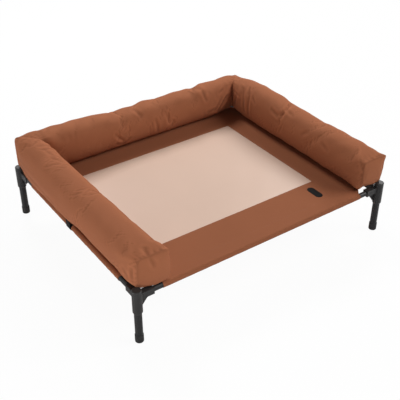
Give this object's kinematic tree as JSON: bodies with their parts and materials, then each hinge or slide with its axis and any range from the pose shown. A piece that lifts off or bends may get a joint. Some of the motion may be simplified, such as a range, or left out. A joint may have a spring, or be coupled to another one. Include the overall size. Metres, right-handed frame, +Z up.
{
  "type": "raised dog cot",
  "caption": "Raised dog cot: a cloth sling with an inset panel on a tube frame with moulded corners and short legs, and a stuffed lift-off bolster along the back and sides.",
  "frame": {"origin": "on the floor under the middle of the frame", "axes": "+X along the open front to the right, +Y to the back, +Z up"},
  "size_m": [0.914, 0.762, 0.2883],
  "materials": {
    "tube_steel": "satin",
    "corner_plastic": "satin",
    "foot_rubber": "matte",
    "sling_cloth": "matte",
    "bolster_cloth": "matte",
    "binding_tape": "matte",
    "panel_mesh": "satin",
    "label_rubber": "matte",
    "webbing": "matte",
    "fibre_fill": "matte"
  },
  "bodies": {
    "frame": {"front_rail": "tube_steel", "back_rail": "tube_steel", "left_rail": "tube_steel", "right_rail": "tube_steel", "front_left_corner": "corner_plastic", "front_right_corner": "corner_plastic", "back_left_corner": "corner_plastic", "back_right_corner": "corner_plastic", "sling_border": "sling_cloth", "centre_panel": "panel_mesh", "corner_bindings": "binding_tape", "label_patch": "label_rubber", "front_sleeve": "sling_cloth", "back_left_sleeve": "sling_cloth", "back_right_sleeve": "sling_cloth", "left_front_sleeve": "sling_cloth", "left_back_sleeve": "sling_cloth", "right_front_sleeve": "sling_cloth", "right_back_sleeve": "sling_cloth", "left_rail_wrap": "webbing", "right_rail_wrap": "webbing", "back_rail_wrap": "webbing"},
    "bolster": {"left_bolster_cover": "bolster_cloth", "right_bolster_cover": "bolster_cloth", "back_bolster_cover": "bolster_cloth", "left_bolster_fill": "fibre_fill", "right_bolster_fill": "fibre_fill", "back_bolster_fill": "fibre_fill", "left_end_panel": "bolster_cloth", "right_end_panel": "bolster_cloth", "left_strap_tab": "webbing", "right_strap_tab": "webbing", "back_strap_tab": "webbing"},
    "front_left_leg_unit": {"front_left_leg": "tube_steel", "front_left_foot": "foot_rubber"},
    "front_right_leg_unit": {"front_right_leg": "tube_steel", "front_right_foot": "foot_rubber"},
    "back_left_leg_unit": {"back_left_leg": "tube_steel", "back_left_foot": "foot_rubber"},
    "back_right_leg_unit": {"back_right_leg": "tube_steel", "back_right_foot": "foot_rubber"}
  },
  "joints": [
    {"name": "bolster_lift", "type": "slide", "parent": "frame", "child": "bolster", "axis": [0, 0, 1], "range_m": [0, 0.2]},
    {"name": "front_left_leg_pull", "type": "slide", "parent": "frame", "child": "front_left_leg_unit", "axis": [0, 0, -1], "range_m": [0, 0.045]},
    {"name": "front_right_leg_pull", "type": "slide", "parent": "frame", "child": "front_right_leg_unit", "axis": [0, 0, -1], "range_m": [0, 0.045]},
    {"name": "back_left_leg_pull", "type": "slide", "parent": "frame", "child": "back_left_leg_unit", "axis": [0, 0, -1], "range_m": [0, 0.045]},
    {"name": "back_right_leg_pull", "type": "slide", "parent": "frame", "child": "back_right_leg_unit", "axis": [0, 0, -1], "range_m": [0, 0.045]}
  ]
}
